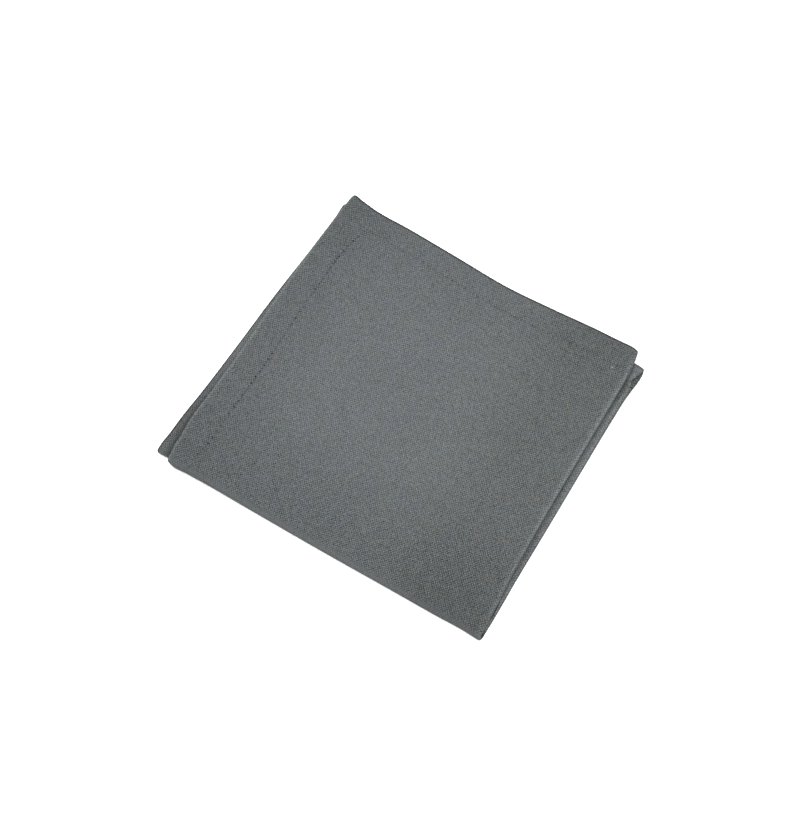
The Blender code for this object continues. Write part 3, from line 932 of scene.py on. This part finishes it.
def group_tree(name, places, numbers, results):
    """A new node group that takes places and numbers and gives numbers, and its first and last node."""
    tree = bpy.data.node_groups.new(name, "ShaderNodeTree")
    for label in places:
        tree.interface.new_socket(label, in_out="INPUT", socket_type="NodeSocketVector")
    for label, value in numbers.items():
        tree.interface.new_socket(label, in_out="INPUT", socket_type="NodeSocketFloat").default_value = value
    for label in results:
        tree.interface.new_socket(label, in_out="OUTPUT", socket_type="NodeSocketFloat")
    return tree, Nodes(tree), tree.nodes.new("NodeGroupInput"), tree.nodes.new("NodeGroupOutput")


def plain_weave_group():
    """Warp and weft of a plain weave, from flat cloth coordinates in metres."""
    tree, n, source, target = group_tree(
        "plain weave", ["Flat place"],
        {"Thread across": THREAD_ACROSS, "Thread down": THREAD_DOWN, "Wander": THREAD_WANDER},
        ["Height", "Tone", "Cell", "Warp over", "Fuzz"])
    place = source.outputs["Flat place"]
    flat = n.split(place)
    wander_across = n.minus(n.noise(place, WANDER_SCALE), 0.5)
    wander_down = n.minus(n.noise(n.vector_math("ADD", place, WANDER_SHIFT), WANDER_SCALE), 0.5)
    amount = n.times(source.outputs["Wander"], 2.0)
    x = n.plus(n.math("DIVIDE", flat[0], source.outputs["Thread across"]), n.times(wander_across, amount))
    y = n.plus(n.math("DIVIDE", flat[1], source.outputs["Thread down"]), n.times(wander_down, amount))
    column = n.math("FLOOR", x)
    row = n.math("FLOOR", y)
    in_column = n.math("SINE", n.times(n.math("FRACT", x), math.pi))
    in_row = n.math("SINE", n.times(n.math("FRACT", y), math.pi))
    parity = n.math("PINGPONG", n.plus(column, row), 1.0)
    sign = n.minus(n.times(parity, 2.0), 1.0)
    warp = n.times(in_column, n.plus(THREAD_HEIGHT, n.times(n.times(sign, in_row), THREAD_CROSSING)))
    weft = n.times(in_row, n.minus(THREAD_HEIGHT, n.times(n.times(sign, in_column), THREAD_CROSSING)))
    crossing = n.times(n.times(sign, in_column), in_row)
    slub_warp = n.noise(n.vector(n.times(column, SLUB_STEP), n.times(y, SLUB_ALONG)), 1.0)
    slub_weft = n.noise(n.vector(n.times(x, SLUB_ALONG), n.times(row, SLUB_STEP), WEFT_SLUBS), 1.0)
    warp_shown = n.math("GREATER_THAN", warp, weft)
    tone = n.add("ShaderNodeMix", {"data_type": "FLOAT"}, {0: warp_shown, 2: slub_weft, 3: slub_warp})
    chance = n.white(n.plus(column, 0.5), n.plus(row, 0.5))
    fullness = n.remap(chance, 0.0, 1.0, LEAST_FULL, MOST_FULL)
    fuzz_column = n.math("FLOOR", n.math("DIVIDE", flat[0], FUZZ_SIZE))
    fuzz_row = n.math("FLOOR", n.math("DIVIDE", flat[1], FUZZ_SIZE))
    n.put(target.inputs["Height"], n.math("MAXIMUM", warp, weft))
    n.put(target.inputs["Tone"], tone)
    n.put(target.inputs["Cell"], n.white(column, row))
    n.put(target.inputs["Warp over"], n.times(crossing, fullness))
    n.put(target.inputs["Fuzz"], n.white(fuzz_column, fuzz_row))
    return tree


def needle_holes_group():
    """Needle holes at the ends of each stitch, the first clear and the second faint."""
    tree, n, source, target = group_tree("needle holes", ["Flat place", "From seams"], {}, ["Holes"])
    flat = n.split(source.outputs["Flat place"])
    sewn = n.split(source.outputs["From seams"])

    def holes(aside, along, key):
        stitch = n.math("DIVIDE", n.minus(along, SEAM_CORNER), STITCH_PITCH)
        in_stitch = n.math("ABSOLUTE", n.minus(n.math("FRACT", stitch), 0.5))
        first_end = n.math("LESS_THAN", n.math("FRACT", stitch), 0.5)
        end_share = n.remap(first_end, 0.0, 1.0, SECOND_HOLE_SHARE, 1.0)
        there = n.times(n.minus(in_stitch, HOLE_FROM_STITCH_MIDDLE), STITCH_PITCH)
        away = n.math("SQRT", n.plus(n.math("POWER", aside, 2.0), n.math("POWER", there, 2.0)))
        chance = n.white(n.math("FLOOR", stitch), key)
        tight = n.times(n.remap(chance, 0.0, TIGHT_STITCHES_FROM, LOOSEST_STITCH, 1.0), end_share)
        on_seam = n.times(n.math("GREATER_THAN", along, SEAM_CORNER),
                          n.math("LESS_THAN", along, WHOLE - SEAM_CORNER))
        hole = n.remap(away, HOLE_REACH, HOLE_FLOOR_SHARE * HOLE_REACH)
        return n.times(n.times(hole, tight), on_seam)

    side_holes = holes(sewn[0], flat[1], 3.0)
    end_holes = n.times(holes(sewn[1], flat[0], 8.0), END_HEM_TIGHTNESS)
    n.put(target.inputs["Holes"], n.math("MAXIMUM", side_holes, end_holes))
    return tree


def lint_group():
    """Pale specks of lint, and one dark one, at their places on the flat cloth."""
    tree, n, source, target = group_tree("lint", ["Flat place"], {}, ["Lint"])
    total = 0.0
    for across, down, radius, light in LINT:
        away = n.add("ShaderNodeVectorMath", {"operation": "DISTANCE"},
                     {0: source.outputs[0], 1: (across * MM, down * MM, 0.0)}, 1)
        total = n.plus(total, n.remap(away, radius * MM, LINT_CORE * radius * MM, 0.0, light))
    n.put(target.inputs["Lint"], total)
    return tree


def new_material(name, finish):
    """A material with plain values on its shader, the shader, and the short names for its nodes."""
    material = bpy.data.materials.new(name)
    material.use_nodes = True
    shader = material.node_tree.nodes["Principled BSDF"]
    for socket, value in finish.items():
        shader.inputs[socket].default_value = value
    return material, shader, Nodes(material.node_tree)


def dyed_colour(n, flat, flat_across):
    """Colour of the cloth with the drift of its dye."""
    red = n.plus(1.0, n.swing(n.noise(flat, DYE_SCALE), 0.5, RED_DRIFT))
    blue_noise = n.noise(n.vector_math("ADD", flat, BLUE_SHIFT), DYE_SCALE)
    blue = n.plus(1.0, n.swing(blue_noise, 0.5, BLUE_DRIFT))
    blue = n.plus(blue, n.remap(flat_across, BLUE_FROM, BLUE_TO, BLUE_LEFT, BLUE_RIGHT))
    return n.vector_math("MULTIPLY", n.vector(red, 1.0, blue), CLOTH_COLOUR)


def cloth_material(weave, holes, lint):
    """Grey cotton in a plain weave, with needle holes, lint and painted shade and light of its folds."""
    material, shader, n = new_material("grey_cotton", CLOTH_FINISH)
    flat = n.add("ShaderNodeUVMap", {"uv_map": "flat cloth"})
    sewn = n.add("ShaderNodeUVMap", {"uv_map": "from seams"})
    woven = n.group(weave, {"Flat place": flat})
    needle_holes = n.group(holes, {"Flat place": flat, "From seams": sewn})["Holes"]
    specks = n.group(lint, {"Flat place": flat})["Lint"]
    shade = n.add("ShaderNodeAttribute", {"attribute_name": "shade"}, {}, 2)
    height = woven["Height"]
    flat_across, flat_down = n.split(flat)[0:2]

    # Painted shade where the weave is low, painted light where it is high, and a tone by the thread on top.
    crossing = n.times(woven["Warp over"], CROSSING_CONTRAST)
    threads = n.plus(n.swing(height, MIDDLE_HEIGHT, WEAVE_CONTRAST), crossing)
    threads = n.plus(threads, n.swing(woven["Fuzz"], 0.5, FUZZ_CONTRAST))
    clearer = n.times(n.remap(shade, *DARK_SHADES, 1.0, CLEARER_WHERE_DARK),
                      n.remap(shade, *DARKEST_SHADES, FAINTER_WHERE_DARKEST, 1.0))
    off_leaf = LEAF_DOWN + FOLD_DOWN
    onto_roll = n.remap(flat_down, LEAF_DOWN - SMOOTH_BEFORE_ROLL, LEAF_DOWN + SMOOTH_ON_ROLL)
    off_roll = n.remap(flat_down, off_leaf, off_leaf + SMOOTH_PAST_ROLL)
    smooth = n.times(n.minus(onto_roll, off_roll), ROLL_SMOOTHNESS)
    threads = n.times(n.times(threads, clearer), n.minus(1.0, smooth))

    slub = n.swing(woven["Tone"], 0.5, SLUB_CONTRAST)
    cell = n.swing(woven["Cell"], 0.5, CELL_CONTRAST)
    mottle = n.swing(n.noise(flat, MOTTLE_SCALE, 3.0, 0.6), 0.5, MOTTLE_CONTRAST)
    total = n.plus(n.plus(threads, slub), n.plus(cell, mottle))
    # Painted shade in the needle holes, and the tone scaled by the painted shade and light of the folds.
    dark_holes = n.times(needle_holes, -HOLE_DARKNESS)
    woven_tone = n.math("MAXIMUM", n.plus(n.plus(1.0, total), dark_holes), DARKEST_TONE)
    tone = n.times(n.plus(woven_tone, specks), shade)
    n.put(shader.inputs["Base Color"], n.scaled(dyed_colour(n, flat, flat_across), tone))
    n.put(shader.inputs["Roughness"], n.remap(height, *THREAD_LOW_HIGH, *ROUGH_LOW_HIGH))

    fibres = n.noise(flat, FIBRE_SCALE)
    relief = n.minus(n.plus(height, n.times(fibres, FIBRE_RELIEF)), needle_holes)
    n.put(shader.inputs["Normal"], n.bump(WEAVE_STRENGTH, WEAVE_DEPTH, relief))
    return material


def thread_material():
    """Twisted grey sewing thread."""
    material, shader, n = new_material("grey_sewing_thread", THREAD_FINISH)
    # Painted shade in the grooves of the twist.
    twist = n.add("ShaderNodeTexWave", {"wave_type": "BANDS", "bands_direction": "DIAGONAL"},
                  {"Vector": n.object_place(), "Scale": TWIST_SCALE, "Distortion": 1.5, "Detail": 1.0}, 1)
    n.put(shader.inputs["Base Color"], n.scaled(THREAD_COLOUR, n.remap(twist, 0.0, 1.0, TWIST_DARKEST, 1.0)))
    n.put(shader.inputs["Normal"], n.bump(TWIST_STRENGTH, TWIST_DEPTH, twist))
    return material


def floor_material():
    """White table top with hardly visible clouds."""
    material, shader, n = new_material("pale_table", TABLE_FINISH)
    clouds = n.noise(n.object_place(), TABLE_CLOUD_SCALE, 3.0)
    n.put(shader.inputs["Base Color"], n.scaled(TABLE_COLOUR, n.remap(clouds, 0.0, 1.0, TABLE_DARKEST, 1.0)))
    return material


# Table, light and camera. The camera was worked out from the corners of the top leaf.
CAMERA_AZIMUTH = math.radians(30.32)
CAMERA_ELEVATION = math.radians(68.81)
CAMERA_DISTANCE = 0.7025
CAMERA_AIM = Vector((-0.000413, -0.008798, -0.00228))
FOCAL_LENGTH_PIXELS = 1200.0
PHOTO_HEIGHT = 836.0
SENSOR_WIDTH = 36.0
CAMERA_NEAREST = 0.01

# Each light has its place, what it points at and its power.
LIGHT_SIZE = 0.5
LIGHTS = {
    "top light": ((0.02, -0.02, 1.15), (0.02, -0.02, 0.0), 14.8),
    "front light": ((0.55, -0.85, 0.75), (0.0, 0.0, 0.0), 5.2),
    "back light": ((-0.45, 0.75, 0.80), (0.0, 0.0, 0.0), 3.5),
}
STUDIO_GLOW = 0.22
TABLE_SIZE = 6.0


def add_camera():
    """The camera at the photograph's angle."""
    data = bpy.data.cameras.new("camera")
    data.sensor_width = SENSOR_WIDTH
    data.lens = FOCAL_LENGTH_PIXELS * SENSOR_WIDTH / PHOTO_HEIGHT
    data.clip_start = CAMERA_NEAREST
    camera = add_object("camera", data)
    level = math.cos(CAMERA_ELEVATION)
    aside, ahead = math.sin(CAMERA_AZIMUTH), math.cos(CAMERA_AZIMUTH)
    back = Vector((aside * level, -ahead * level, math.sin(CAMERA_ELEVATION)))
    right = Vector((ahead, aside, 0.0))
    up = back.cross(right)
    turn = Matrix((right, up, back)).transposed().to_4x4()
    camera.matrix_world = Matrix.Translation(CAMERA_AIM + back * CAMERA_DISTANCE) @ turn
    bpy.context.scene.camera = camera


def add_light(name, place, target, power):
    """A square studio light that points at a target."""
    data = bpy.data.lights.new(name, "AREA")
    data.shape = "SQUARE"
    data.size = LIGHT_SIZE
    data.energy = power
    lamp = add_object(name, data)
    lamp.location = place
    lamp.rotation_euler = (Vector(target) - Vector(place)).to_track_quat("-Z", "Y").to_euler()


def add_table_and_light():
    """The pale table, the three studio lights and the soft light all round."""
    bpy.ops.mesh.primitive_plane_add(size=TABLE_SIZE, location=(0.0, 0.0, 0.0))
    table = bpy.context.active_object
    table.name = "table"
    table.data.materials.append(floor_material())
    for name, (place, target, power) in LIGHTS.items():
        add_light(name, place, target, power)
    world = bpy.data.worlds.new("studio")
    world.use_nodes = True
    background = world.node_tree.nodes["Background"]
    background.inputs[0].default_value = (1.0, 1.0, 1.0, 1.0)
    background.inputs[1].default_value = STUDIO_GLOW
    bpy.context.scene.world = world
    bpy.context.scene.view_settings.view_transform = "Standard"


add_camera()
add_table_and_light()
cloth = napkin_cloth()
cloth.data.materials.append(cloth_material(plain_weave_group(), needle_holes_group(), lint_group()))
stitching = hem_stitches()
stitching.data.materials.append(thread_material())
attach(cloth, "root")
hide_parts("napkin")
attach(stitching, "root")
